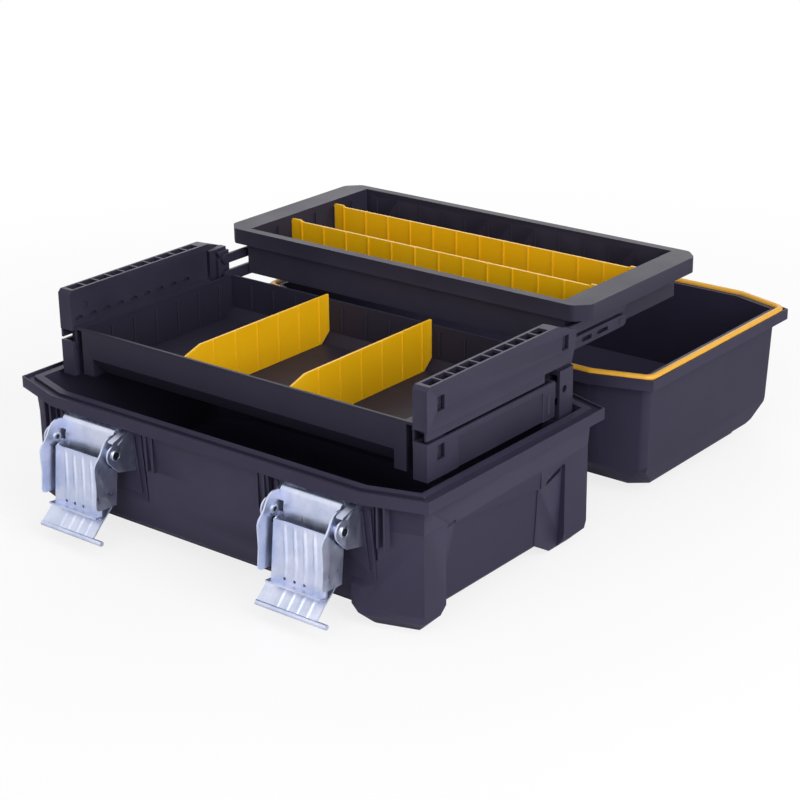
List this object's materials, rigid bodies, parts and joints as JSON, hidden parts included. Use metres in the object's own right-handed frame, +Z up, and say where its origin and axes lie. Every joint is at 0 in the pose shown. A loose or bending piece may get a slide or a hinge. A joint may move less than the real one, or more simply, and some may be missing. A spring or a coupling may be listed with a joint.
{
  "type": "cantilever tool box",
  "caption": "Plastic cantilever tool box shown open, with a lid that swings over the back, a swinging upper tray, a lifting middle tray on side plates, yellow dividers and sheet metal latches",
  "frame": {"origin": "on the floor plane under the middle of the open box's bounding box", "axes": "+X is the right end seen from the front, +Y is the back where the open lid lies, +Z is up"},
  "size_m": [0.443, 0.614, 0.201],
  "materials": {
    "box_plastic": "structural foam polypropylene, fine grained, near black with a cool tint",
    "tray_plastic": "moulded polypropylene, finer grain than the box",
    "divider_plastic": "moulded polypropylene, satin yellow",
    "seal_rubber": "soft extruded seal, amber yellow",
    "zinc_sheet": "pressed steel sheet, bright zinc plating with a bluish passivation",
    "pin_steel": "zinc plated steel pins, rivets and screws"
  },
  "bodies": {
    "base": {"base_tub": "box_plastic", "rear_post_left": "tray_plastic", "rear_post_right": "tray_plastic", "post_screws": "pin_steel", "plate_pins_rear": "tray_plastic", "arm_pivot_pins": "tray_plastic", "hinge_pins": "pin_steel", "latch_bracket_left": "zinc_sheet", "latch_bracket_right": "zinc_sheet", "bracket_rivets": "pin_steel", "lever_pins": "pin_steel"},
    "upper_side_plate_left": {"upper_plate_left": "tray_plastic"},
    "upper_side_plate_right": {"upper_plate_right": "tray_plastic"},
    "lower_side_plate_left": {"lower_plate_left": "tray_plastic"},
    "lower_side_plate_right": {"lower_plate_right": "tray_plastic"},
    "middle_tray_group": {"middle_tray": "tray_plastic", "plate_pins_front": "tray_plastic", "middle_divider_left": "divider_plastic", "middle_divider_right": "divider_plastic"},
    "arm_left": {"swing_arm_left": "tray_plastic"},
    "arm_right": {"swing_arm_right": "tray_plastic"},
    "link_left": {"level_link_left": "tray_plastic"},
    "link_right": {"level_link_right": "tray_plastic"},
    "upper_tray_group": {"upper_tray": "tray_plastic", "arm_pins_front": "tray_plastic", "upper_divider_front": "divider_plastic", "upper_divider_rear": "divider_plastic"},
    "lid": {"lid_shell": "box_plastic", "lid_seal": "seal_rubber", "handle_pins": "pin_steel"},
    "handle": {"carry_handle": "tray_plastic"},
    "lever_left": {"latch_lever_left": "zinc_sheet", "hook_pin_left": "pin_steel"},
    "lever_right": {"latch_lever_right": "zinc_sheet", "hook_pin_right": "pin_steel"},
    "hook_left": {"latch_hook_left": "zinc_sheet"},
    "hook_right": {"latch_hook_right": "zinc_sheet"}
  },
  "joints": [
    {"name": "lid_hinge", "type": "hinge", "parent": "base", "child": "lid", "pos_m": [0, 0.01499, 0.1202], "axis": [1, 0, 0], "range_deg": [0, 180]},
    {"name": "upper_plate_left_swing", "type": "hinge", "parent": "base", "child": "upper_side_plate_left", "pos_m": [-0.192, -0.04901, 0.179], "axis": [1, 0, 0], "range_deg": [0, 16]},
    {"name": "lower_plate_left_swing", "type": "hinge", "parent": "base", "child": "lower_side_plate_left", "pos_m": [-0.192, -0.04901, 0.139], "axis": [1, 0, 0], "range_deg": [0, 16]},
    {"name": "upper_plate_right_swing", "type": "hinge", "parent": "base", "child": "upper_side_plate_right", "pos_m": [0.192, -0.04901, 0.179], "axis": [1, 0, 0], "range_deg": [0, 16]},
    {"name": "lower_plate_right_swing", "type": "hinge", "parent": "base", "child": "lower_side_plate_right", "pos_m": [0.192, -0.04901, 0.139], "axis": [1, 0, 0], "range_deg": [0, 16]},
    {"name": "middle_tray_level", "type": "hinge", "parent": "upper_side_plate_right", "child": "middle_tray_group", "pos_m": [0.192, -0.21501, 0.179], "axis": [1, 0, 0], "range_deg": [-16, 0]},
    {"name": "arm_left_swing", "type": "hinge", "parent": "base", "child": "arm_left", "pos_m": [-0.18, -0.04101, 0.162], "axis": [1, 0, 0], "range_deg": [0, 175]},
    {"name": "link_left_swing", "type": "hinge", "parent": "base", "child": "link_left", "pos_m": [-0.183, -0.04101, 0.177], "axis": [1, 0, 0], "range_deg": [0, 175]},
    {"name": "arm_right_swing", "type": "hinge", "parent": "base", "child": "arm_right", "pos_m": [0.18, -0.04101, 0.162], "axis": [1, 0, 0], "range_deg": [0, 175]},
    {"name": "link_right_swing", "type": "hinge", "parent": "base", "child": "link_right", "pos_m": [0.183, -0.04101, 0.177], "axis": [1, 0, 0], "range_deg": [0, 175]},
    {"name": "upper_tray_level", "type": "hinge", "parent": "arm_right", "child": "upper_tray_group", "pos_m": [0.18, 0.06299, 0.162], "axis": [1, 0, 0], "range_deg": [-175, 0]},
    {"name": "handle_fold", "type": "hinge", "parent": "lid", "child": "handle", "pos_m": [0, 0.15449, 0.0062], "axis": [-1, 0, 0], "range_deg": [0, 90]},
    {"name": "lever_left_swing", "type": "hinge", "parent": "base", "child": "lever_left", "pos_m": [-0.122, -0.28501, 0.088], "axis": [1, 0, 0], "range_deg": [-110, 5]},
    {"name": "hook_left_swing", "type": "hinge", "parent": "lever_left", "child": "hook_left", "pos_m": [-0.122, -0.2859, 0.07955], "axis": [-1, 0, 0], "range_deg": [0, 179]},
    {"name": "lever_right_swing", "type": "hinge", "parent": "base", "child": "lever_right", "pos_m": [0.122, -0.28501, 0.088], "axis": [1, 0, 0], "range_deg": [-110, 5]},
    {"name": "hook_right_swing", "type": "hinge", "parent": "lever_right", "child": "hook_right", "pos_m": [0.122, -0.2859, 0.07955], "axis": [-1, 0, 0], "range_deg": [0, 179]}
  ],
  "couplings": [
    {"joint": "upper_plate_left_swing", "follows": "lid_hinge", "ratio": 0.088889},
    {"joint": "lower_plate_left_swing", "follows": "lid_hinge", "ratio": 0.088889},
    {"joint": "arm_left_swing", "follows": "lid_hinge", "ratio": 0.97222},
    {"joint": "link_left_swing", "follows": "lid_hinge", "ratio": 0.97222},
    {"joint": "upper_plate_right_swing", "follows": "lid_hinge", "ratio": 0.088889},
    {"joint": "lower_plate_right_swing", "follows": "lid_hinge", "ratio": 0.088889},
    {"joint": "arm_right_swing", "follows": "lid_hinge", "ratio": 0.97222},
    {"joint": "link_right_swing", "follows": "lid_hinge", "ratio": 0.97222},
    {"joint": "middle_tray_level", "follows": "lid_hinge", "ratio": -0.088889},
    {"joint": "upper_tray_level", "follows": "lid_hinge", "ratio": -0.97222}
  ]
}
